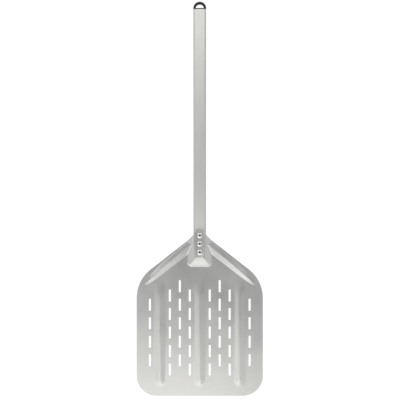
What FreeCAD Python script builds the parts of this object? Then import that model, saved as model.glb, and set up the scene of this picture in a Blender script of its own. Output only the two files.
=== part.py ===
import FreeCAD, Part
import math
import os

# A perforated aluminium pizza peel: one punched and pressed sheet, a flat oval tube riveted
# under the sheet's hood, and a moulded end plug with a hanging loop. Millimetres.
# While it is built, y = 0 is the blade's front edge and z = 0 its underside; place_on_table
# then puts the origin under the middle of the whole peel.

# Blade sheet
sheet_thickness = 1.5
blade_width = 300.0
blade_length = 369.8          # front edge to the corner of the neck
front_corner_radius = 47.5
shoulder_radius = 86.0
shoulder_angle = 38.0         # slope of the shoulder edges, in degrees
neck_flare = 13.3             # how far the neck stands out past the tube, each side
tongue_width = 23.0
tongue_length = 27.5          # neck corner to the tip of the tongue over the tube

# Slots: columns counted outwards from the middle, and rows counted back from the first
slot_length = 28.5
slot_width = 5.0
slot_corner_radius = 1.0
column_pitch = 23.7
row_pitch = 44.0
first_row = 62.5
slot_columns = [(1, 0.0, 5), (2, 0.5, 5), (3, 0.0, 5), (5, 0.5, 4)]   # column, first row, slots

# Long ribs, pressed up between the slots
long_rib_columns = [-4, 0, 4]
long_rib_width = 25.0
long_rib_height = 2.3
long_rib_length = 250.0
long_rib_front = 24.0         # from the blade's front edge
long_rib_run_out = 30.0       # over which it sinks into the sheet at its rear end

# Shoulder ribs. Each row is one section across the rib: how far along the shoulder edge from
# its curved end, then the depths of the rib's outer foot, crest and inner foot behind that
# edge, and the crest's height.
shoulder_rib_sections = [
    (-28.0, 17.8, 19.3, 21.5, 0.3),
    (2.0, 8.8, 16.5, 24.9, 3.1),
    (47.0, 6.0, 14.4, 25.2, 5.6),
    (98.0, 3.9, 13.1, 25.0, 7.2),
    (124.0, 3.7, 13.0, 25.0, 7.5),
]
shoulder_crest_width = 2.0

# Hood, pressed up over the tube's front end
hood_length = 61.2            # front edge to the neck corner
hood_ramp_length = 18.6
hood_skirt = 14.3             # how far its sides' feet stand out past the tube
hood_foot_corner = 11.0
hood_top_width = 20.0         # where the ramp meets it
hood_top_corner = 2.0
hood_top_flare = 0.05         # how much each side widens towards the rear, in mm for each mm
hood_edge_radius = 1.8
groove_depth = 1.8            # crests to the floor that the rivets clamp
groove_wall_run = 2.0
groove_floor_width = 17.2     # at its round front end

# Handle tube: a pressed end level with the blade, then a bend, where the handle starts to rise
handle_rise = 7.0             # slope of the handle above the blade, in degrees
handle_length = 514.7         # bend to rear end, along the slope
tube_width = 30.0
tube_height = 15.0
tube_corner_radius = 4.2
tube_wall = 1.2
tube_overlap = 38.7           # tube's front end to the neck corner
bend_clearance = 1.0          # tip of the tongue to the bend
opening_out_length = 62.0     # from the bend to the tube's full height
pressed_end_height = 8.0
pressed_end_corner_radius = 3.6
pressed_end_lift = 1.2        # under the pressed end

# Blind rivets
rivet_count = 3
rivet_pitch = 20.0
first_rivet = 10.5            # from the tube's front end
rivet_head_diameter = 13.4
rivet_head_top_diameter = 6.2
rivet_head_height = 1.9
rivet_head_rim = 0.6
rivet_head_rounding = 0.4
rivet_body_diameter = 6.4
rivet_tail_diameter = 8.6
rivet_tail_height = 3.0
rivet_tail_rounding = 0.8
mandrel_diameter = 4.2
mandrel_recess = 1.4          # top of the rivet's head to the broken end of its mandrel
mandrel_head_diameter = 6.0
mandrel_head_height = 1.6
rivet_hole_clearance = 0.1

# End plug with its hanging loop
collar_thickness = 2.2
insert_length = 26.0
insert_clearance = 0.1
loop_thickness = 8.0
loop_side_width = 5.4         # at the collar
loop_top_width = 7.0
loop_rounding = 2.0

rise = math.radians(handle_rise)
slope = math.radians(shoulder_angle)
blade_half = blade_width / 2
tube_half = tube_width / 2
neck_half = tube_half + neck_flare
tube_front_y = blade_length - tube_overlap
pressed_end_top = pressed_end_lift + pressed_end_height
groove_floor_z = pressed_end_top + sheet_thickness
crest_z = groove_floor_z + groove_depth
hood_front_y = blade_length - hood_length
tongue_tip_y = blade_length + tongue_length
bend_y = tongue_tip_y + bend_clearance
shoulder_end_x = blade_half - shoulder_radius * (1 - math.sin(slope))
shoulder_end_y = blade_length - (shoulder_end_x - neck_half) * math.tan(slope)
side_end_y = shoulder_end_y - shoulder_radius * math.cos(slope)
press_depth = 100.0           # of the solid blocks that the sheet is pressed over


def point(x, y, z=0.0):
    return FreeCAD.Vector(x, y, z)


def on_handle(shape):
    """Turn and move a shape from the handle's own frame (y along the handle from the bend,
    z = 0 on its flat top) to its place."""
    placed = shape.copy()
    placed.rotate(point(0, 0), point(1, 0, 0), handle_rise)
    placed.translate(point(0, bend_y, pressed_end_top))
    return placed


def blade_outline():
    """Blade's outline: square front with round corners, straight sides, slanting shoulders,
    and a flared neck that ends in a round tongue over the tube."""
    flare_end_y = blade_length + neck_flare
    tongue_y = tongue_tip_y - tongue_width / 2
    front_middle = front_corner_radius * (1 - math.sqrt(0.5))
    half_turn = (math.pi / 2 - slope) / 2
    shoulder_centre = point(blade_half - shoulder_radius, side_end_y)
    shoulder_middle = shoulder_centre + point(math.cos(half_turn), math.sin(half_turn)) * shoulder_radius
    front = point(blade_half - front_corner_radius, 0)
    corner = point(blade_half - front_middle, front_middle)
    side_start = point(blade_half, front_corner_radius)
    side_end = point(blade_half, side_end_y)
    shoulder_end = point(shoulder_end_x, shoulder_end_y)
    neck = point(neck_half, blade_length)
    flare_end = point(tube_half, flare_end_y)
    tongue_start = point(tongue_width / 2, tongue_y)

    def mirrored(p):
        return point(-p.x, p.y)

    half = [
        Part.Arc(front, corner, side_start),
        Part.LineSegment(side_start, side_end),
        Part.Arc(side_end, shoulder_middle, shoulder_end),
        Part.LineSegment(shoulder_end, neck),
        Part.LineSegment(neck, flare_end),
        Part.LineSegment(flare_end, tongue_start),
    ]
    other_half = [
        Part.LineSegment(mirrored(tongue_start), mirrored(flare_end)),
        Part.LineSegment(mirrored(flare_end), mirrored(neck)),
        Part.LineSegment(mirrored(neck), mirrored(shoulder_end)),
        Part.Arc(mirrored(shoulder_end), mirrored(shoulder_middle), mirrored(side_end)),
        Part.LineSegment(mirrored(side_end), mirrored(side_start)),
        Part.Arc(mirrored(side_start), mirrored(corner), mirrored(front)),
    ]
    tongue = Part.Arc(tongue_start, point(0, tongue_tip_y), mirrored(tongue_start))
    front_edge = Part.LineSegment(mirrored(front), front)
    edges = [piece.toShape() for piece in half + [tongue] + other_half + [front_edge]]
    return Part.Face(Part.Wire(edges))


def long_rib_form(column):
    """Low round-topped rib: the top of a large ball-ended bar that lies below the sheet, and
    that bends down into it over the run-out at the rear."""
    half = long_rib_width / 2
    radius = (half ** 2 + long_rib_height ** 2) / (2 * long_rib_height)
    axis_z = sheet_thickness + long_rib_height - radius
    start = point(column * column_pitch, long_rib_front + half, axis_z)
    level_length = long_rib_length - half - long_rib_run_out
    bend = start + point(0, level_length)
    run_out = point(0, long_rib_run_out, -long_rib_height)
    bar = Part.makeCylinder(radius, level_length, start, point(0, 1, 0))
    front_ball = Part.makeSphere(radius, start)
    bend_ball = Part.makeSphere(radius, bend)
    sinking_bar = Part.makeCylinder(radius, 1.5 * run_out.Length, bend, run_out)
    return bar.fuse([front_ball, bend_ball, sinking_bar])


def shoulder_rib_form(side):
    """Leaf-shaped rib along one shoulder: pointed at the blade's side, and rising to the hood."""
    sections = []
    for along, outer, crest, inner, height in shoulder_rib_sections:
        profile = [(outer, 0.0), (crest - shoulder_crest_width / 2, height),
                   (crest + shoulder_crest_width / 2, height), (inner, 0.0)]
        corners = []
        for depth, lift in profile:
            x = shoulder_end_x - along * math.cos(slope) - depth * math.sin(slope)
            y = shoulder_end_y + along * math.sin(slope) - depth * math.cos(slope)
            corners.append(point(side * x, y, sheet_thickness + lift))
        sections.append(Part.makePolygon(corners + corners[:1]))
    return Part.makeLoft(sections, True, True)


def hood_outline(half, corner, front_y, rear_y, flare, z):
    """Outline with two round front corners, whose sides widen towards the rear."""
    bulge = corner * (1 - math.sqrt(0.5))
    rear_half = half + flare * (rear_y - front_y - corner)
    front = point(half - corner, front_y, z)
    middle = point(half - bulge, front_y + bulge, z)
    side = point(half, front_y + corner, z)
    rear = point(rear_half, rear_y, z)

    def mirrored(p):
        return point(-p.x, p.y, p.z)

    pieces = [
        Part.LineSegment(mirrored(front), front),
        Part.Arc(front, middle, side),
        Part.LineSegment(side, rear),
        Part.LineSegment(rear, mirrored(rear)),
        Part.LineSegment(mirrored(rear), mirrored(side)),
        Part.Arc(mirrored(side), mirrored(middle), mirrored(front)),
    ]
    return Part.Wire([piece.toShape() for piece in pieces])


def hood_form():
    """Hood: a ramp at the front, sloping sides, round corners between them, and a level top."""
    rear_y = tongue_tip_y + tube_half
    foot = hood_outline(tube_half + hood_skirt, hood_foot_corner, hood_front_y, rear_y, 0,
                        sheet_thickness)
    top = hood_outline(hood_top_width / 2, hood_top_corner, hood_front_y + hood_ramp_length, rear_y,
                       hood_top_flare, crest_z)
    form = Part.makeLoft([foot, top], True, True)
    top_edges = [edge for edge in form.Edges
                 if edge.BoundBox.ZMin > crest_z - 0.1 and edge.BoundBox.YMin < rear_y - 1]
    return form.makeFillet(hood_edge_radius, top_edges)


def groove_form():
    """What the hood's top is pressed down by, along the rivets, to lie on the tube."""
    reach = 3 * groove_depth
    floor_half = groove_floor_width / 2
    spread = groove_wall_run * reach / groove_depth
    first_rivet_y = tube_front_y + first_rivet
    round_end = Part.makeCone(floor_half, floor_half + spread, reach,
                              point(0, first_rivet_y, groove_floor_z))
    sections = []
    for y in (first_rivet_y, tongue_tip_y + tube_half):
        half = floor_half + hood_top_flare * (y - first_rivet_y)
        section = [(-half, 0), (half, 0), (half + spread, reach), (-half - spread, reach)]
        corners = [point(x, y, groove_floor_z + z) for x, z in section]
        sections.append(Part.makePolygon(corners + corners[:1]))
    return round_end.fuse(Part.makeLoft(sections, True, True))


def rivet_places():
    return [tube_front_y + first_rivet + number * rivet_pitch for number in range(rivet_count)]


def rivet_holes():
    """Clearance cylinders for the rivets, through the sheet and the tube's top wall."""
    radius = rivet_body_diameter / 2 + rivet_hole_clearance
    low = pressed_end_top - 1.5 * tube_wall
    high = groove_floor_z + groove_depth
    holes = [Part.makeCylinder(radius, high - low, point(0, y, low)) for y in rivet_places()]
    return Part.makeCompound(holes)


def slots():
    """Every slot, as one compound of round-cornered bars through the sheet."""
    depth = 3 * sheet_thickness
    bar = Part.makeBox(slot_width, slot_length, depth,
                       point(-slot_width / 2, -slot_length / 2, -sheet_thickness))
    upright = [edge for edge in bar.Edges if abs(edge.tangentAt(edge.FirstParameter).z) > 0.9]
    bar = bar.makeFillet(slot_corner_radius, upright)
    bars = []
    for column, start_row, count in slot_columns:
        for number in range(count):
            y = first_row + (start_row + number) * row_pitch
            for side in (-1, 1):
                bars.append(bar.translated(point(side * column * column_pitch, y)))
    return Part.makeCompound(bars)


def blade():
    """The sheet: whatever lies within its outline and a sheet's thickness below the surface of
    the forms that it is pressed over."""
    size = 2 * (blade_width + tongue_tip_y)
    block = Part.makeBox(size, size, press_depth,
                         point(-size / 2, -size / 4, sheet_thickness - press_depth))
    forms = [long_rib_form(column) for column in long_rib_columns]
    forms += [shoulder_rib_form(side) for side in (-1, 1)]
    pressed = block.fuse(forms + [hood_form()]).cut(groove_form())
    underneath = pressed.translated(point(0, 0, -sheet_thickness))
    trimmed = blade_outline().extrude(point(0, 0, press_depth))
    trimmed.translate(point(0, 0, -press_depth / 2))
    sheet = pressed.common(trimmed).cut(underneath)
    return sheet.cut([slots(), rivet_holes()])


def tube_section(width, height, corner, inset, y):
    """Round-cornered wire across the tube. Its top stays level, and inset shrinks it all round."""
    half = width / 2 - inset
    top = -inset
    bottom = inset - height
    radius = corner - inset
    diagonal = radius * (1 - math.sqrt(0.5))

    def at(x, z):
        return point(x, y, z)

    edges = [
        Part.LineSegment(at(radius - half, top), at(half - radius, top)),
        Part.Arc(at(half - radius, top), at(half - diagonal, top - diagonal), at(half, top - radius)),
        Part.LineSegment(at(half, top - radius), at(half, bottom + radius)),
        Part.Arc(at(half, bottom + radius), at(half - diagonal, bottom + diagonal),
                 at(half - radius, bottom)),
        Part.LineSegment(at(half - radius, bottom), at(radius - half, bottom)),
        Part.Arc(at(radius - half, bottom), at(diagonal - half, bottom + diagonal),
                 at(-half, bottom + radius)),
        Part.LineSegment(at(-half, bottom + radius), at(-half, top - radius)),
        Part.Arc(at(-half, top - radius), at(diagonal - half, top - diagonal),
                 at(radius - half, top)),
    ]
    return Part.Wire([edge.toShape() for edge in edges])


def tube_core(inset):
    """The tube as a solid bar, shrunk by inset: the pressed end, the part that opens out and
    starts to rise, and the straight run."""
    pressed = tube_section(tube_width, pressed_end_height, pressed_end_corner_radius, inset, bend_y)
    pressed.translate(point(0, 0, pressed_end_top))
    full = tube_section(tube_width, tube_height, tube_corner_radius, inset, opening_out_length)
    straight = point(0, handle_length - opening_out_length, 0)
    front = Part.Face(pressed).extrude(point(0, tube_front_y - bend_y, 0))
    opening_out = Part.makeLoft([pressed, on_handle(full)], True, True)
    return front.fuse([opening_out, on_handle(Part.Face(full).extrude(straight))])


def handle_tube():
    return tube_core(0).cut(tube_core(tube_wall)).cut(rivet_holes()).removeSplitter()


def rivet_body(y):
    """Blind rivet's body: a low domed head, its shank, and the tail bulged inside the tube."""
    tail_bottom = pressed_end_top - tube_wall - rivet_tail_height
    top = groove_floor_z + rivet_head_height
    rim = Part.makeCylinder(rivet_head_diameter / 2, rivet_head_rim, point(0, y, groove_floor_z))
    dome = Part.makeCone(rivet_head_diameter / 2, rivet_head_top_diameter / 2,
                         rivet_head_height - rivet_head_rim,
                         point(0, y, groove_floor_z + rivet_head_rim))
    head = rim.fuse(dome)
    round_edges = [edge for edge in head.Edges
                   if edge.BoundBox.ZLength < 0.01 and edge.BoundBox.ZMin > groove_floor_z + 0.1]
    head = head.makeFillet(rivet_head_rounding, round_edges)
    shank = Part.makeCylinder(rivet_body_diameter / 2, groove_floor_z - tail_bottom,
                              point(0, y, tail_bottom))
    tail = Part.makeCylinder(rivet_tail_diameter / 2, rivet_tail_height, point(0, y, tail_bottom))
    tail_rim = [edge for edge in tail.Edges if edge.BoundBox.ZMax < tail_bottom + rivet_tail_height / 2]
    tail = tail.makeFillet(rivet_tail_rounding, tail_rim)
    bore = Part.makeCylinder(mandrel_diameter / 2, top - tail_bottom, point(0, y, tail_bottom))
    return head.fuse([shank, tail]).cut(bore).removeSplitter()


def rivet_mandrel(y):
    """What is left of the steel pin that set the rivet: its head holds the tail open."""
    tail_bottom = pressed_end_top - tube_wall - rivet_tail_height
    broken_end = groove_floor_z + rivet_head_height - mandrel_recess
    pin = Part.makeCylinder(mandrel_diameter / 2, broken_end - tail_bottom, point(0, y, tail_bottom))
    foot = Part.makeCylinder(mandrel_head_diameter / 2, mandrel_head_height,
                             point(0, y, tail_bottom - mandrel_head_height))
    return pin.fuse(foot).removeSplitter()


def hanging_plug():
    """Moulded end plug: an insert in the tube, a collar over the tube's end, and a loop."""
    inset = tube_wall + insert_clearance
    insert_start = handle_length - insert_length
    insert = Part.Face(tube_section(tube_width, tube_height, tube_corner_radius, inset, insert_start))
    insert = insert.extrude(point(0, insert_length, 0))
    collar = Part.Face(tube_section(tube_width, tube_height, tube_corner_radius, 0, handle_length))
    collar = collar.extrude(point(0, collar_thickness, 0))

    base_y = handle_length + collar_thickness
    opening_half = tube_half - loop_side_width
    opening_height = tube_half - loop_top_width
    inner_radius = (opening_half ** 2 + opening_height ** 2) / (2 * opening_height)
    mid_z = -tube_height / 2
    low = point(0, base_y, mid_z - loop_thickness / 2)
    disc = Part.makeCylinder(tube_half, loop_thickness, low)
    disc = disc.makeFillet(loop_rounding, [e for e in disc.Edges if e.BoundBox.ZLength < 0.1])
    hole = Part.makeCylinder(inner_radius, loop_thickness, low + point(0, opening_height - inner_radius))
    ring = disc.cut(hole)
    upper_half = Part.makeBox(tube_width, tube_width, tube_height,
                              point(-tube_half, base_y, -tube_height))
    loop = ring.common(upper_half)
    return on_handle(insert.fuse([collar, loop]).removeSplitter())


def place_on_table(solids):
    """Centre the whole peel over the origin. It already lies on z = 0."""
    box = Part.makeCompound(list(solids.values())).optimalBoundingBox(False)
    shift = point(0, -(box.YMin + box.YMax) / 2)
    return {name: solid.translated(shift) for name, solid in solids.items()}


def build():
    solids = {"blade": blade(), "handle_tube": handle_tube(), "hanging_plug": hanging_plug()}
    for place, y in zip(("front", "middle", "rear"), rivet_places()):
        solids["rivet_" + place] = rivet_body(y)
        solids["mandrel_" + place] = rivet_mandrel(y)
    return place_on_table(solids)


os.makedirs("parts", exist_ok=True)
for node, shape in build().items():
    shape.exportStep("parts/" + node + ".step")
    box = shape.BoundBox
    print(node, shape.ShapeType, len(shape.Solids), shape.isValid(), round(shape.Volume, 1),
          [round(v, 2) for v in (box.XMin, box.YMin, box.ZMin, box.XMax, box.YMax, box.ZMax)])
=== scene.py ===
import math

import bmesh
import bpy
from mathutils import Matrix, Vector


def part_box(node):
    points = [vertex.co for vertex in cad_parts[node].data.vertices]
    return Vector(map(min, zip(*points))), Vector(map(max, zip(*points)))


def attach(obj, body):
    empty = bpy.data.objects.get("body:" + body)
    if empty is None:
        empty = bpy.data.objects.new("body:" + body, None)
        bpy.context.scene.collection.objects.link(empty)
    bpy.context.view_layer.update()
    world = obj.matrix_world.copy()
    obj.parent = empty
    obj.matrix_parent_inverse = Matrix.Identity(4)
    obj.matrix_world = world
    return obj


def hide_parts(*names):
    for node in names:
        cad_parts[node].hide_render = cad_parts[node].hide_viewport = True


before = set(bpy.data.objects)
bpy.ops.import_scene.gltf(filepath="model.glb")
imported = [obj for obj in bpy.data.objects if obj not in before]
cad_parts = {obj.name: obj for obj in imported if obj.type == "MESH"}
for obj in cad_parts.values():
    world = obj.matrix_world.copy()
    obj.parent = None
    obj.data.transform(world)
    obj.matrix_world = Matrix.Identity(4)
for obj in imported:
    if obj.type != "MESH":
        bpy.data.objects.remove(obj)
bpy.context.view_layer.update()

# ---------------------------------------------------------------------------------------------
# Blade: one sheet of aluminium, punched with slots, pressed into three long ribs, two shoulder
# ribs and a hood, and trimmed to its outline. Its rolled surface is left satin, with a fine
# lengthways grain and light marks of use.
# ---------------------------------------------------------------------------------------------
MM = 0.001
blade_low, blade_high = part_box("blade")
front_y = blade_low.y
tongue_tip = (blade_high.y - front_y) / MM
blade_half = blade_high.x / MM

sheet = 1.5
corner_radius = 47.5
shoulder_radius = 86.0
shoulder_slope = math.radians(38.0)
tube_half = 15.0
neck_flare = 13.3
neck_half = tube_half + neck_flare
neck_y = tongue_tip - 27.5
edge_softening = 0.35

shoulder_x = blade_half - shoulder_radius * (1 - math.sin(shoulder_slope))
shoulder_y = neck_y - (shoulder_x - neck_half) * math.tan(shoulder_slope)
side_end_y = shoulder_y - shoulder_radius * math.cos(shoulder_slope)

slot_length = 28.5
slot_width = 5.0
slot_corner = 1.0
column_pitch = 23.7
row_pitch = 44.0
first_row = 62.5
slot_columns = [(1, 0.0, 5), (2, 0.5, 5), (3, 0.0, 5), (5, 0.5, 4)]

rib_columns = (-4, 0, 4)
rib_half = 13.0
rib_height = 2.3
rib_front = 24.0
rib_rear = 274.0
rib_run_out = 30.0       # over which the long ribs sink into the sheet at the rear

rib_band = 26.5          # depth of the shoulder ribs' band behind the shoulder edge
rib_tip_along = -30.3    # from the shoulder's curved end, along the edge
rib_neck_along = 101.7
rib_neck_height = 7.4

tongue_half = 11.5       # of the round tongue that ends the sheet, on the tube

hood_front = neck_y - 61.2
hood_ramp = 18.6
hood_foot = tube_half + 14.3
hood_foot_corner = 11.0
hood_top = 10.0          # half-width of the hood's top where the ramp meets it
hood_top_corner = 2.0
hood_top_flare = 0.05    # how much each side widens towards the rear, in mm for each mm
groove_floor = 10.7      # height of the sheet's top under the rivet heads
groove_depth = 1.8
groove_half = 8.6
first_rivet_y = neck_y - 28.2
rivet_pitch = 20.0
rivet_count = 3
rivet_hole = 3.3

foot_blend = 1.2         # how softly each form is pressed into what is round it
run_out_blend = 0.5
hood_top_blend = 1.8
shoulder_blend = 2.5
groove_blend = 1.0
groove_wall = 2.0        # plan width of the groove's sloping wall

plate_steps = (2.6, 3.2)        # largest spacing of the flat sheet's mesh, across and along
shoulder_steps = (2.4, 0.8)     # along the shoulder and back from it
hood_step = 0.9


def place(x, y, z=0.0):
    """Millimetres from the middle of the blade's front edge, to metres in the frame."""
    return Vector((x * MM, front_y + y * MM, z * MM))


def soft_min(a, b, blend):
    overlap = max(blend - abs(a - b), 0.0) / blend
    return min(a, b) - overlap * overlap * blend / 4


def soft_max(a, b, blend):
    return -soft_min(-a, -b, blend)


def along_profile(stops, value):
    """Straight-line interpolation through (position, value) stops."""
    for (start, low), (end, high) in zip(stops, stops[1:]):
        if value <= end:
            share = max(value - start, 0.0) / (end - start)
            return low + (high - low) * share
    return stops[-1][1]


def long_rib(x, y):
    short = min(y - rib_front - rib_half, 0.0)
    nearest = min(abs(x - column * column_pitch) for column in rib_columns)
    away = math.hypot(nearest, short) / rib_half
    left = max(rib_rear - y, 0.0) / rib_run_out
    full = soft_min(rib_height * left, rib_height, run_out_blend)
    return full * (1 - away * away) ** 2 if away < 1 else 0.0


def edge_frame(x, y):
    """Where a point lies along the shoulder edge from its curved end, and how far behind it."""
    dx, dy = abs(x) - shoulder_x, y - shoulder_y
    along = -dx * math.cos(shoulder_slope) + dy * math.sin(shoulder_slope)
    depth = -dx * math.sin(shoulder_slope) - dy * math.cos(shoulder_slope)
    return along, depth


def shoulder_rib(x, y):
    """Leaf-shaped rib: a creased outer slope, a crest, and a steep inner slope in two facets."""
    along, depth = edge_frame(x, y)
    share = (along - rib_tip_along) / (rib_neck_along - rib_tip_along)
    if share <= 0 or depth < 0 or depth > rib_band:
        return -sheet
    fade = max(1 - share, 0.0)
    height = rib_neck_height * (1 - fade ** 1.6)
    outer = 3.7 + 5.5 * fade + 8.6 * fade ** 8
    crest = 13.0 + 3.3 * fade + 3.0 * fade ** 4
    inner = 25.1 - 3.6 * fade ** 8
    slope_width = crest - outer
    face_width = inner - crest
    profile = [
        (outer, 0.0),
        (outer + 0.30 * slope_width, 0.36),
        (outer + 0.42 * slope_width, 0.42),
        (outer + 0.72 * slope_width, 0.78),
        (outer + 0.84 * slope_width, 0.84),
        (crest, 1.0),
        (crest + 0.10 * face_width, 0.98),
        (crest + 0.42 * face_width, 0.54),
        (crest + 0.60 * face_width, 0.42),
        (inner, 0.0),
    ]
    past_foot = max(outer - depth, depth - inner)
    return -past_foot if past_foot > 0 else height * along_profile(profile, depth)


def hood(x, y):
    """A form that narrows from a round-cornered foot to a smaller round-cornered top."""
    back = y - hood_front
    top_half = hood_top + hood_top_flare * max(back - hood_ramp - hood_top_corner, 0.0)
    side = (hood_foot - abs(x)) / (hood_foot - top_half)
    share = min(side, back / hood_ramp)
    shrink = hood_foot_corner - hood_top_corner
    inward = hood_foot - hood_top - shrink
    onward = hood_ramp - shrink
    out_x = abs(x) - (hood_foot - hood_foot_corner)
    out_y = hood_foot_corner - back
    square = inward ** 2 + onward ** 2 - shrink ** 2
    half_linear = inward * out_x + onward * out_y + hood_foot_corner * shrink
    constant = out_x ** 2 + out_y ** 2 - hood_foot_corner ** 2
    root = math.sqrt(max(half_linear ** 2 - square * constant, 0.0))
    round_corner = (root - half_linear) / square
    if out_x + inward * round_corner > 0 and out_y + onward * round_corner > 0:
        share = round_corner
    top = groove_floor - sheet + groove_depth
    return soft_min(top, top * share, hood_top_blend)


def groove(x, y):
    """Height that the rivets' groove presses the hood down to."""
    back = y - first_rivet_y
    away = math.hypot(x, min(back, 0.0)) - groove_half - hood_top_flare * max(back, 0.0)
    wall = soft_max(away, 0.0, foot_blend) * groove_depth / groove_wall
    return groove_floor - sheet + wall


def sheet_height(x, y):
    pressed = soft_max(hood(x, y), shoulder_rib(x, y), shoulder_blend)
    pressed = soft_min(pressed, groove(x, y), groove_blend)
    pressed = soft_max(pressed, 0.0, foot_blend)
    return sheet + max(pressed, long_rib(x, y))


def line_to(mesh, start, x, y):
    end = bmesh.ops.extrude_vert_indiv(mesh, verts=[start])["verts"][0]
    end.co = place(x, y)
    return end


def arc_about(mesh, start, x, y, turn, steps):
    """Carry an edge chain on round a centre, and return its last vertex."""
    ring = bmesh.ops.spin(mesh, geom=[start], cent=place(x, y), axis=(0, 0, 1), angle=turn,
                          steps=steps)
    return next(item for item in ring["geom_last"] if isinstance(item, bmesh.types.BMVert))


def spaced(marks, step):
    """The marks in order, with even extra places between those that are further apart."""
    marks = sorted(marks)
    places = [marks[0]]
    for low, high in zip(marks, marks[1:]):
        parts = max(1, math.ceil((high - low) / step - 1e-6))
        places += [low + (high - low) * part / parts for part in range(1, parts + 1)]
    return places


def slice_faces(mesh, faces, cuts):
    """Cut the given faces, and no others, along planes given as (point, normal)."""
    geometry = set(faces)
    for face in faces:
        geometry.update(face.edges)
        geometry.update(face.verts)
    geometry = list(geometry)
    for where, normal in cuts:
        geometry = bmesh.ops.bisect_plane(mesh, geom=geometry, dist=1e-7, plane_co=where,
                                          plane_no=normal)["geom"]
    return [item for item in geometry if isinstance(item, bmesh.types.BMFace)]


def in_plan(face):
    middle = face.calc_center_median()
    return middle.x / MM, (middle.y - front_y) / MM


def blade_outline(mesh):
    """One flat face: half the outline drawn round, mirrored and filled."""
    tongue_y = tongue_tip - tongue_half
    last = mesh.verts.new(place(0, 0))
    last = line_to(mesh, last, blade_half - corner_radius, 0)
    last = arc_about(mesh, last, blade_half - corner_radius, corner_radius, math.pi / 2, 20)
    last = line_to(mesh, last, blade_half, side_end_y)
    last = arc_about(mesh, last, blade_half - shoulder_radius, side_end_y,
                     math.pi / 2 - shoulder_slope, 20)
    last = line_to(mesh, last, neck_half, neck_y)
    last = line_to(mesh, last, tube_half, neck_y + neck_flare)
    last = line_to(mesh, last, tongue_half, tongue_y)
    arc_about(mesh, last, 0, tongue_y, math.pi / 2, 12)
    bmesh.ops.mirror(mesh, geom=mesh.verts[:] + mesh.edges[:], axis="X", merge_dist=1e-6)
    bmesh.ops.remove_doubles(mesh, verts=mesh.verts[:], dist=1e-6)
    bmesh.ops.contextual_create(mesh, geom=mesh.edges[:])


def slot_places():
    for column, start_row, count in slot_columns:
        for number in range(count):
            for side in (-1, 1):
                yield side * column * column_pitch, first_row + (start_row + number) * row_pitch


def along_x(x):
    return place(x, 0), (1, 0, 0)


def along_y(y):
    return place(0, y), (0, 1, 0)


def along_shoulder(side, depth):
    """Plane that runs along one shoulder, a depth behind its edge."""
    normal = Vector((side * math.sin(shoulder_slope), math.cos(shoulder_slope), 0))
    return place(side * shoulder_x, shoulder_y) - normal * depth * MM, normal


def across_shoulder(side, along):
    way = Vector((-side * math.cos(shoulder_slope), math.sin(shoulder_slope), 0))
    return place(side * shoulder_x, shoulder_y) + way * along * MM, way


def grid_blade(mesh):
    """Divide the outline into a grid that follows the slots, the shoulders and the hood."""
    hood_side = hood_foot + 2.0
    hood_start = hood_front - 4.0
    cuts = [along_x(-hood_side), along_x(hood_side), along_y(hood_start)]
    cuts += [along_shoulder(side, rib_band) for side in (-1, 1)]
    slice_faces(mesh, mesh.faces[:], cuts)

    hood_faces, plate_faces, shoulder_faces = [], [], {-1: [], 1: []}
    for face in mesh.faces:
        x, y = in_plan(face)
        if abs(x) < hood_side and y > hood_start:
            hood_faces.append(face)
        elif edge_frame(x, y)[1] < rib_band:
            shoulder_faces[1 if x > 0 else -1].append(face)
        else:
            plate_faces.append(face)

    slot_xs, slot_ys = set(), set()
    for x, y in slot_places():
        for inset in (0, slot_corner):
            slot_xs.update((x - slot_width / 2 + inset, x + slot_width / 2 - inset))
            slot_ys.update((y - slot_length / 2 + inset, y + slot_length / 2 - inset))
    xs = spaced(slot_xs | {-blade_half, blade_half, 0.0}, plate_steps[0])[1:-1]
    ys = spaced(slot_ys | {0.0, neck_y}, plate_steps[1])[1:-1]
    slice_faces(mesh, plate_faces, [along_x(x) for x in xs] + [along_y(y) for y in ys])

    for side, faces in shoulder_faces.items():
        lengths = spaced([rib_tip_along - 60.0, neck_half + 90.0], shoulder_steps[0])
        depths = spaced([0.0, rib_band], shoulder_steps[1])[1:-1]
        cuts = [across_shoulder(side, along) for along in lengths]
        slice_faces(mesh, faces, cuts + [along_shoulder(side, depth) for depth in depths])

    xs = spaced([-hood_side, 0.0, hood_side], hood_step)[1:-1]
    ys = spaced([hood_start, tongue_tip], hood_step)[1:-1]
    slice_faces(mesh, hood_faces, [along_x(x) for x in xs] + [along_y(y) for y in ys])


def open_slots(mesh):
    """Take out the slots' faces and round the slots' corners."""
    inside = []
    places = list(slot_places())
    for face in mesh.faces:
        x, y = in_plan(face)
        if any(abs(x - sx) < slot_width / 2 and abs(y - sy) < slot_length / 2 for sx, sy in places):
            inside.append(face)
    bmesh.ops.delete(mesh, geom=inside, context="FACES")
    pull = slot_corner * (1 - math.sqrt(0.5)) * MM
    for sx, sy in places:
        for vert in mesh.verts:
            x, y = vert.co.x / MM - sx, (vert.co.y - front_y) / MM - sy
            if abs(abs(x) - slot_width / 2) < 1e-3 and abs(abs(y) - slot_length / 2) < 1e-3:
                vert.co.x -= math.copysign(pull, x)
                vert.co.y -= math.copysign(pull, y)


def open_rivet_holes(mesh):
    for number in range(rivet_count):
        centre = place(0, first_rivet_y + number * rivet_pitch)
        inside = [face for face in mesh.faces
                  if (face.calc_center_median() - centre).length < rivet_hole * MM]
        bmesh.ops.delete(mesh, geom=inside, context="FACES")
        for vert in mesh.verts:
            away = vert.co - centre
            if vert.is_boundary and away.length < 2 * rivet_hole * MM:
                vert.co = centre + away.normalized() * rivet_hole * MM


def finished_object(name, mesh):
    """Turn a bmesh into a smooth-shaded object in the scene."""
    data = bpy.data.meshes.new(name)
    mesh.to_mesh(data)
    mesh.free()
    data.shade_smooth()
    made = bpy.data.objects.new(name, data)
    bpy.context.scene.collection.objects.link(made)
    return made


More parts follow.
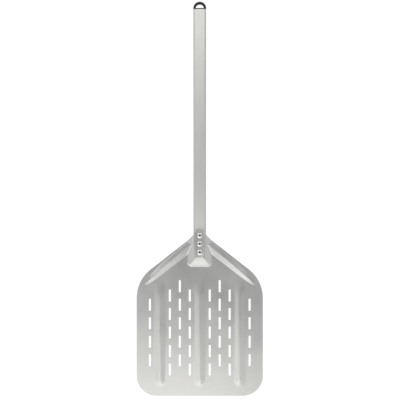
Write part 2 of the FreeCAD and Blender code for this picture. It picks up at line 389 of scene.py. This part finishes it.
def soften_edges(piece, width):
    """Small rounds on the piece's sharp edges, with flat faces kept flat in shading."""
    bevel = piece.modifiers.new("soft_edges", "BEVEL")
    bevel.width = width * MM
    bevel.segments = 2
    bevel.limit_method = "ANGLE"
    bevel.angle_limit = math.radians(50)
    piece.modifiers.new("flat_faces", "WEIGHTED_NORMAL").keep_sharp = True


blade_mesh = bmesh.new()
blade_outline(blade_mesh)
grid_blade(blade_mesh)
open_slots(blade_mesh)
open_rivet_holes(blade_mesh)
for vert in blade_mesh.verts:
    vert.co.z = sheet_height(vert.co.x / MM, (vert.co.y - front_y) / MM) * MM
bmesh.ops.recalc_face_normals(blade_mesh, faces=blade_mesh.faces[:])
if blade_mesh.faces[0].normal.z < 0:
    bmesh.ops.reverse_faces(blade_mesh, faces=blade_mesh.faces[:])
blade = finished_object("blade_sheet", blade_mesh)
thickness = blade.modifiers.new("sheet_thickness", "SOLIDIFY")
thickness.thickness = sheet * MM
thickness.offset = -1
soften_edges(blade, edge_softening)


class Signal:
    """A number, colour or vector in a material, worked on with plain arithmetic."""

    def __init__(self, nodes, socket):
        self.nodes = nodes
        self.socket = socket

    def maths(self, operation, *values):
        inputs = dict(enumerate(values))
        return self.nodes.add("ShaderNodeMath", {"operation": operation}, inputs)["Value"]

    def __add__(self, other):
        return self.maths("ADD", self, other)

    def __sub__(self, other):
        return self.maths("SUBTRACT", self, other)

    def __mul__(self, other):
        return self.maths("MULTIPLY", self, other)

    def __rsub__(self, other):
        return self.maths("SUBTRACT", other, self)

    __radd__ = __add__
    __rmul__ = __mul__


class Finish:
    """One material's nodes, ending in its Principled shader."""

    def __init__(self, name):
        self.material = bpy.data.materials.new(name)
        self.material.use_nodes = True
        self.tree = self.material.node_tree
        self.shader = self.tree.nodes["Principled BSDF"]
        self.place = self.add("ShaderNodeTexCoord", {}, {})["Object"]

    def connect(self, socket, value):
        if isinstance(value, Signal):
            self.tree.links.new(value.socket, socket)
        else:
            socket.default_value = value

    def add(self, kind, settings, inputs):
        """Add a node, with its settings and its sockets' values or links, and return its
        outputs by name."""
        node = self.tree.nodes.new(kind)
        for name, value in settings.items():
            setattr(node, name, value)
        for name, value in inputs.items():
            self.connect(node.inputs[name], value)
        return {output.name: Signal(self, output) for output in node.outputs if output.enabled}

    def shade(self, **sockets):
        """Set or link the shader's sockets, named with _ for a space."""
        for name, value in sockets.items():
            self.connect(self.shader.inputs[name.replace("_", " ")], value)

    def noise(self, scale, stretch=(1, 1, 1), detail=3.0):
        """Noise on the object's own coordinates, in cycles per metre, stretched by axis."""
        spot = self.add("ShaderNodeMapping", {}, {"Vector": self.place, "Scale": stretch})["Vector"]
        made = self.add("ShaderNodeTexNoise", {}, {"Vector": spot, "Scale": scale, "Detail": detail})
        return made["Fac"]

    def range(self, value, low, high, new_low, new_high):
        """Carry low..high over to new_low..new_high, held at the ends."""
        return self.add("ShaderNodeMapRange", {"clamp": True}, {
            "Value": value, "From Min": low, "From Max": high, "To Min": new_low,
            "To Max": new_high})["Result"]

    def mix(self, share, first, second):
        """A colour between two colours."""
        return self.add("ShaderNodeMix", {"data_type": "RGBA"}, {0: share, 6: first, 7: second})[
            "Result"]

    def bump(self, height, distance, strength):
        return self.add("ShaderNodeBump", {}, {"Height": height, "Distance": distance,
                                               "Strength": strength})["Normal"]


def rolled_sheet_finish():
    """Satin rolled aluminium: fine grain along the blade, cloudy patches, and faint rubs."""
    finish = Finish("rolled_sheet")
    grain = finish.noise(260.0, stretch=(9.0, 0.5, 1.0), detail=4.0)
    clouds = finish.noise(14.0, detail=2.0)
    rubs = finish.range(finish.noise(30.0, stretch=(1.0, 14.0, 1.0), detail=5.0), 0.62, 0.72, 0.0, 1.0)
    tone = finish.range(clouds, 0.3, 0.7, 0.0, 1.0)
    colour = finish.mix(tone, (0.605, 0.605, 0.60, 1), (0.665, 0.662, 0.655, 1))
    finish.shade(
        Metallic=1.0,
        Base_Color=colour,
        Roughness=0.25 + 0.05 * grain + 0.04 * tone - 0.02 * rubs,
        Normal=finish.bump(grain, 0.00001, 0.15),
    )
    return finish.material


blade.data.materials.append(rolled_sheet_finish())
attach(blade, "root")
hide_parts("blade")

# ---------------------------------------------------------------------------------------------
# Handle tube: flat oval aluminium tube with a satin anodised skin, painted shade darkening its
# side corners, and the extrusion's faint lengthways lines. Its front end is pressed thin and lies
# level under the hood, and from the tongue's tip it opens out and rises to the loop.
# ---------------------------------------------------------------------------------------------
handle_rise = math.radians(7.0)
handle_length = 514.7
tube_width = 2 * tube_half
tube_height = 15.0
tube_corner = 4.2
tube_wall = 1.2
pressed_height = 8.0
pressed_corner = 3.6
pressed_top = groove_floor - sheet
tube_front_y = first_rivet_y - 10.5
bend_y = tongue_tip + 1.0
opening_out = 62.0
pressed_level = 6.0      # last level stretch of the pressed end, before the bend
# The next two set where the painted shade on the tube's side corners begins and where it is full.
painted_shade_start = tube_half - 3.2
painted_shade_full = tube_half - 1.2


def on_handle(along, up=0.0, across=0.0):
    """A place in the handle's own frame: along it from the bend, and above its flat top."""
    y = bend_y + along * math.cos(handle_rise) - up * math.sin(handle_rise)
    z = pressed_top + along * math.sin(handle_rise) + up * math.cos(handle_rise)
    return place(across, y, z)


def rounded_section(mesh, width, height, corner, middle, tilt):
    """Edge loop of a round-cornered section that stands across the handle."""
    turn = Matrix.Translation(middle) @ Matrix.Rotation(tilt, 4, "X")
    before = set(mesh.verts)
    corners = [(-1, -1), (1, -1), (1, 1), (-1, 1)]
    square = [mesh.verts.new((x * width / 2 * MM, 0, z * height / 2 * MM)) for x, z in corners]
    mesh.faces.new(square)
    bmesh.ops.bevel(mesh, geom=square, offset=corner * MM, offset_type="OFFSET", segments=8,
                    profile=0.5, affect="VERTICES", material=-1)
    ring = [vert for vert in mesh.verts if vert not in before]
    bmesh.ops.transform(mesh, matrix=turn, verts=ring)
    face = ring[0].link_faces[0]
    edges = list(face.edges)
    bmesh.ops.delete(mesh, geom=[face], context="FACES_ONLY")
    return edges


def join_loops(mesh, loops):
    for first, second in zip(loops, loops[1:]):
        bmesh.ops.bridge_loops(mesh, edges=first + second)


tube_mesh = bmesh.new()
tube_loops = []
for y in (tube_front_y, bend_y - pressed_level, bend_y):
    middle = place(0, y, pressed_top - pressed_height / 2)
    tube_loops.append(rounded_section(tube_mesh, tube_width, pressed_height, pressed_corner,
                                      middle, 0.0))
for share in (0.25, 0.5, 0.75, 1.0):
    height = pressed_height + (tube_height - pressed_height) * share
    corner = pressed_corner + (tube_corner - pressed_corner) * share
    middle = on_handle(opening_out * share, -height / 2)
    tube_loops.append(rounded_section(tube_mesh, tube_width, height, corner, middle,
                                      handle_rise * share))
for along in (handle_length / 2, handle_length):
    middle = on_handle(along, -tube_height / 2)
    tube_loops.append(rounded_section(tube_mesh, tube_width, tube_height, tube_corner, middle,
                                      handle_rise))
join_loops(tube_mesh, tube_loops)
bmesh.ops.recalc_face_normals(tube_mesh, faces=tube_mesh.faces[:])
tube = finished_object("oval_tube", tube_mesh)
tube_thickness = tube.modifiers.new("wall", "SOLIDIFY")
tube_thickness.thickness = tube_wall * MM
tube_thickness.offset = -1
soften_edges(tube, 0.2)


def anodised_tube_finish():
    """Satin anodised extrusion: die lines along the tube, a soft sheen, and painted shade towards the
    corners.
    """
    finish = Finish("anodised_tube")
    lines = finish.noise(420.0, stretch=(4.0, 0.02, 4.0), detail=4.0)
    clouds = finish.noise(20.0, stretch=(1.0, 0.3, 1.0), detail=2.0)
    tone = finish.range(clouds, 0.3, 0.7, 0.0, 1.0)
    flats = finish.mix(tone, (0.68, 0.68, 0.67, 1), (0.72, 0.72, 0.71, 1))
    # Painted shade: the colour darkens towards the tube's side corners, in place of the shade on sides
    # that turn away from the lights.
    across = finish.add("ShaderNodeSeparateXYZ", {}, {"Vector": finish.place})["X"]
    away = across.maths("ABSOLUTE", across)
    painted_corner_shade = finish.range(away, painted_shade_start * MM, painted_shade_full * MM, 0.0, 1.0)
    finish.shade(
        Metallic=1.0,
        Base_Color=finish.mix(painted_corner_shade, flats, (0.50, 0.50, 0.49, 1)),
        Roughness=0.32 + 0.08 * lines + 0.03 * tone,
        Normal=finish.bump(lines, 0.00003, 0.4),
    )
    return finish.material


tube.data.materials.append(anodised_tube_finish())
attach(tube, "root")
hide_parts("handle_tube")

# ---------------------------------------------------------------------------------------------
# Blind rivets: bright aluminium ring heads on the groove's floor, shanks through the sheet and
# the tube's top wall, and tails swelled inside the tube. In each is what is left of the dark
# steel mandrel that set it, broken off below the head's rim.
# ---------------------------------------------------------------------------------------------
head_radius = 6.7
head_height = 1.9
head_rim = 0.6
shank_radius = 3.2
tail_radius = 4.3
tail_height = 3.0
tail_round = 0.8
bore_radius = 2.1
mouth_radius = 2.5
mandrel_recess = 1.4
mandrel_head = 3.0
mandrel_head_height = 1.6
tail_top = pressed_top - tube_wall
tail_bottom = tail_top - tail_height


def turned(name, profile, y, steps=48):
    """Solid turned about an upright axis at y, from a chain of (radius, height) points."""
    mesh = bmesh.new()
    chain = [mesh.verts.new(place(radius, y, z)) for radius, z in profile]
    for start, end in zip(chain, chain[1:]):
        mesh.edges.new((start, end))
    bmesh.ops.spin(mesh, geom=mesh.verts[:] + mesh.edges[:], cent=place(0, y), axis=(0, 0, 1),
                   angle=math.tau, steps=steps, use_merge=True)
    bmesh.ops.remove_doubles(mesh, verts=mesh.verts[:], dist=1e-6)
    bmesh.ops.recalc_face_normals(mesh, faces=mesh.faces[:])
    return finished_object(name, mesh)


def rounded(centre_radius, centre_height, size, start, end, steps=6):
    """Points round part of a circle, in degrees, for a turned profile."""
    points = []
    for step in range(steps + 1):
        angle = math.radians(start + (end - start) * step / steps)
        points.append((centre_radius + size * math.cos(angle), centre_height + size * math.sin(angle)))
    return points


def rivet_profile():
    """Closed chain: up the bore, over the domed ring head, down the shank, round the tail."""
    base, top = groove_floor, groove_floor + head_height
    chain = [(bore_radius, tail_bottom), (bore_radius, top - 0.7), (mouth_radius, top - 0.35)]
    chain += [(mouth_radius + 0.15, top - 0.08), (mouth_radius + 0.5, top)]
    chain += [(mouth_radius + 1.0, top - 0.14), (head_radius - 0.7, base + head_rim + 0.2)]
    chain += rounded(head_radius - 0.5, base + head_rim - 0.42, 0.5, 70, 0)
    chain += [(head_radius, base), (shank_radius, base), (shank_radius, tail_top)]
    chain += rounded(tail_radius - tail_round, tail_top - tail_round, tail_round, 90, 0)
    chain += rounded(tail_radius - tail_round, tail_bottom + tail_round, tail_round, 0, -90)
    return chain + chain[:1]


def mandrel_profile():
    """From the torn tip down the pin to the head that holds the tail open."""
    broken = groove_floor + head_height - mandrel_recess
    pin = bore_radius - 0.01
    low = tail_bottom - mandrel_head_height
    return [(0.0, broken + 0.35), (0.5, broken + 0.2), (1.1, broken + 0.28), (pin, broken - 0.1),
            (pin, tail_bottom), (mandrel_head - 0.4, tail_bottom), (mandrel_head, tail_bottom - 0.4),
            (mandrel_head, low + 0.5), (mandrel_head - 0.6, low), (0.0, low)]


def rivet_finish():
    """Bright aluminium with small dents from the setting tool."""
    finish = Finish("bright_rivet")
    dents = finish.noise(900.0, detail=3.0)
    finish.shade(
        Metallic=1.0,
        Base_Color=finish.mix(finish.range(dents, 0.35, 0.65, 0.0, 1.0), (0.74, 0.74, 0.73, 1),
                              (0.84, 0.84, 0.83, 1)),
        Roughness=0.13 + 0.10 * dents,
        Normal=finish.bump(dents, 0.00004, 0.25),
    )
    return finish.material


def mandrel_finish():
    """Dull dark steel with a coarse torn end."""
    finish = Finish("torn_steel")
    torn = finish.noise(1500.0, detail=4.0)
    finish.shade(
        Metallic=1.0,
        Base_Color=finish.mix(torn, (0.03, 0.03, 0.032, 1), (0.11, 0.11, 0.12, 1)),
        Roughness=0.45 + 0.25 * torn,
        Normal=finish.bump(torn, 0.0001, 0.6),
    )
    return finish.material


bright_rivet = rivet_finish()
torn_steel = mandrel_finish()
for number, spot in enumerate(("front", "middle", "rear")):
    y = first_rivet_y + number * rivet_pitch
    rivet = turned("blind_rivet_" + spot, rivet_profile(), y)
    rivet.data.materials.append(bright_rivet)
    soften_edges(rivet, 0.08)
    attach(rivet, "root")
    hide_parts("rivet_" + spot)
    mandrel = turned("steel_pin_" + spot, mandrel_profile(), y, 32)
    mandrel.data.materials.append(torn_steel)
    soften_edges(mandrel, 0.08)
    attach(mandrel, "root")
    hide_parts("mandrel_" + spot)

# ---------------------------------------------------------------------------------------------
# Hanging plug: one black plastic moulding pressed into the tube's rear end. Its collar covers
# the cut end, and a half-round loop stands on the collar.
# ---------------------------------------------------------------------------------------------
collar = 2.2
collar_round = 0.4
insert_length = 26.0
insert_gap = 0.1
insert_chamfer = 1.2
loop_thickness = 8.0
loop_side = 5.4
loop_top = 7.0
loop_rounding = 2.0
loop_sink = 0.3          # depth of the loop's feet in the collar
loop_steps = 40


def insert_and_collar(mesh):
    """One closed shell: the chamfered insert, and the collar that steps out from it."""
    gap = tube_wall + insert_gap
    insert_start = handle_length - insert_length
    rings = [(insert_start, gap + insert_chamfer), (insert_start + insert_chamfer, gap),
             (handle_length, gap), (handle_length, 0.0),
             (handle_length + collar - collar_round, 0.0), (handle_length + collar, collar_round)]
    loops = [rounded_section(mesh, tube_width - 2 * inset, tube_height - 2 * inset,
                             tube_corner - inset, on_handle(along, -tube_height / 2), handle_rise)
             for along, inset in rings]
    join_loops(mesh, loops)
    for ends in (loops[0], loops[-1]):
        bmesh.ops.contextual_create(mesh, geom=ends)


def arc_chain(mesh, radius, half_turn, centre):
    """Chain of edges from left to right over an arc about (0, centre). Returns its edges."""
    chain = []
    for step in range(loop_steps + 1):
        angle = (2 * step / loop_steps - 1) * half_turn
        if chain:
            chain += bmesh.ops.extrude_vert_indiv(mesh, verts=[chain[-1]])["verts"]
        else:
            chain.append(mesh.verts.new())
        chain[-1].co = (radius * math.sin(angle) * MM, (centre + radius * math.cos(angle)) * MM, 0)
    return {edge for vert in chain for edge in vert.link_edges}


def loop_on_collar(mesh):
    """One closed shell: the half-round loop, its rims rounded, its feet sunk into the collar."""
    opening_half = tube_half - loop_side
    opening_height = tube_half - loop_top
    inner = (opening_half ** 2 + opening_height ** 2) / (2 * opening_height)
    inner_turn = math.pi / 2 - math.asin((inner - opening_height) / inner)
    before = set(mesh.faces)
    outer_edges = arc_chain(mesh, tube_half, math.pi / 2, 0.0)
    inner_edges = arc_chain(mesh, inner, inner_turn, opening_height - inner)
    strip = bmesh.ops.bridge_loops(mesh, edges=list(outer_edges | inner_edges))["faces"]
    grown = bmesh.ops.extrude_face_region(mesh, geom=strip, use_keep_orig=True)
    top_verts = [item for item in grown["geom"] if isinstance(item, bmesh.types.BMVert)]
    bmesh.ops.translate(mesh, verts=top_verts, vec=(0, 0, loop_thickness * MM))
    ring_faces = [face for face in mesh.faces if face not in before]
    bmesh.ops.recalc_face_normals(mesh, faces=ring_faces)
    ring_verts = list({vert for face in ring_faces for vert in face.verts})
    settle = (Matrix.Translation(on_handle(handle_length + collar, -tube_height / 2))
              @ Matrix.Rotation(handle_rise, 4, "X")
              @ Matrix.Translation((0, -loop_sink * MM, -loop_thickness / 2 * MM)))
    bmesh.ops.transform(mesh, matrix=settle, verts=ring_verts)
    rims = []
    for edge in {edge for face in ring_faces for edge in face.edges}:
        sharp = len(edge.link_faces) == 2 and edge.calc_face_angle(0.0) > math.radians(50)
        at_foot = all(abs(face.normal.z) < 0.5 for face in edge.link_faces)
        if sharp and not at_foot:
            rims.append(edge)
    bmesh.ops.bevel(mesh, geom=rims, offset=loop_rounding * MM, offset_type="OFFSET", segments=5,
                    profile=0.5, affect="EDGES", material=-1)


def end_plug():
    """Insert with collar, and loop: two closed shells, one sunk into the other."""
    mesh = bmesh.new()
    insert_and_collar(mesh)
    loop_on_collar(mesh)
    bmesh.ops.recalc_face_normals(mesh, faces=mesh.faces[:])
    return finished_object("end_plug", mesh)


def moulded_plastic_finish():
    """Black moulded plastic with a fine spark-eroded texture and a slight shine."""
    finish = Finish("moulded_plastic")
    texture = finish.noise(2200.0, detail=2.0)
    scuffs = finish.range(finish.noise(160.0, detail=4.0), 0.55, 0.75, 0.0, 1.0)
    finish.shade(
        Metallic=0.0,
        Base_Color=finish.mix(scuffs, (0.012, 0.012, 0.012, 1), (0.022, 0.022, 0.021, 1)),
        Roughness=0.42 + 0.10 * texture + 0.08 * scuffs,
        Normal=finish.bump(texture, 0.00004, 0.5),
    )
    return finish.material


plug = end_plug()
plug.data.materials.append(moulded_plastic_finish())
soften_edges(plug, 0.15)
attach(plug, "root")
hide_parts("hanging_plug")

# ---------------------------------------------------------------------------------------------
# Setting: a plain pale floor, soft studio panels overhead in front and behind with a darker gap
# between them, low panels all round, and a camera that looks straight down on the peel.
# ---------------------------------------------------------------------------------------------
camera_height = 3.0
shown_width = 0.9514
view_centre_x = 0.0006
view_centre_y = front_y + 0.4656
film_width = 36.0


def floor_finish():
    finish = Finish("pale_floor")
    finish.shade(Base_Color=(0.12, 0.12, 0.12, 1), Roughness=0.9, Specular_IOR_Level=0.2,
                 Emission_Color=(1, 1, 1, 1), Emission_Strength=0.97)
    return finish.material


floor_mesh = bmesh.new()
bmesh.ops.create_grid(floor_mesh, x_segments=1, y_segments=1, size=6.0)
floor = finished_object("floor", floor_mesh)
floor.data.materials.append(floor_finish())


def soft_panel(name, middle, size, aim, strength):
    """Rectangular soft light: its middle, its two sizes, the way it faces and its brightness."""
    light = bpy.data.lights.new(name, "AREA")
    light.shape = "RECTANGLE"
    light.size, light.size_y = size
    light.color = (1.0, 0.98, 0.945)
    light.energy = strength * size[0] * size[1] * math.pi
    panel = bpy.data.objects.new(name, light)
    panel.location = middle
    panel.rotation_euler = Vector(aim).to_track_quat("-Z", "Y").to_euler()
    bpy.context.scene.collection.objects.link(panel)


down, ahead, behind = (0, 0, -1), (0, 1, 0), (0, -1, 0)
soft_panel("front_left", (-0.75, -1.39, 1.5), (1.0, 2.02), down, 0.88)
soft_panel("front_middle", (0, -1.15, 1.5), (0.5, 1.2), down, 1.2)
soft_panel("front_right", (0.87, -1.42, 1.5), (1.0, 1.96), down, 0.62)
soft_panel("rear_left", (-0.75, 0.85, 1.5), (1.0, 1.4), down, 0.8)
soft_panel("rear_middle", (0, 0.35, 1.5), (0.5, 0.4), down, 1.62)
soft_panel("rear_right", (0.75, 1.0, 1.5), (1.0, 1.2), down, 0.62)
soft_panel("low_front", (-0.1, -2.2, 0.7), (2.8, 1.3), ahead, 1.02)
soft_panel("low_rear", (0, 2.2, 0.7), (3.6, 1.3), behind, 0.42)
soft_panel("low_left", (-1.6, -0.3, 0.8), (3.0, 1.4), (1, 0, 0), 0.49)
soft_panel("low_right", (1.6, -0.3, 0.8), (3.0, 1.4), (-1, 0, 0), 0.40)

world = bpy.data.worlds.new("studio")
world.use_nodes = True
world.node_tree.nodes["Background"].inputs["Color"].default_value = (0.97, 1, 1, 1)
world.node_tree.nodes["Background"].inputs["Strength"].default_value = 0.37
bpy.context.scene.world = world
bpy.context.scene.view_settings.view_transform = "Standard"

camera_data = bpy.data.cameras.new("camera")
camera_data.sensor_width = film_width
camera_data.lens = film_width * camera_height / shown_width
camera_data.clip_end = 20.0
camera = bpy.data.objects.new("camera", camera_data)
camera.location = (view_centre_x, view_centre_y, camera_height)
bpy.context.scene.collection.objects.link(camera)
bpy.context.scene.camera = camera
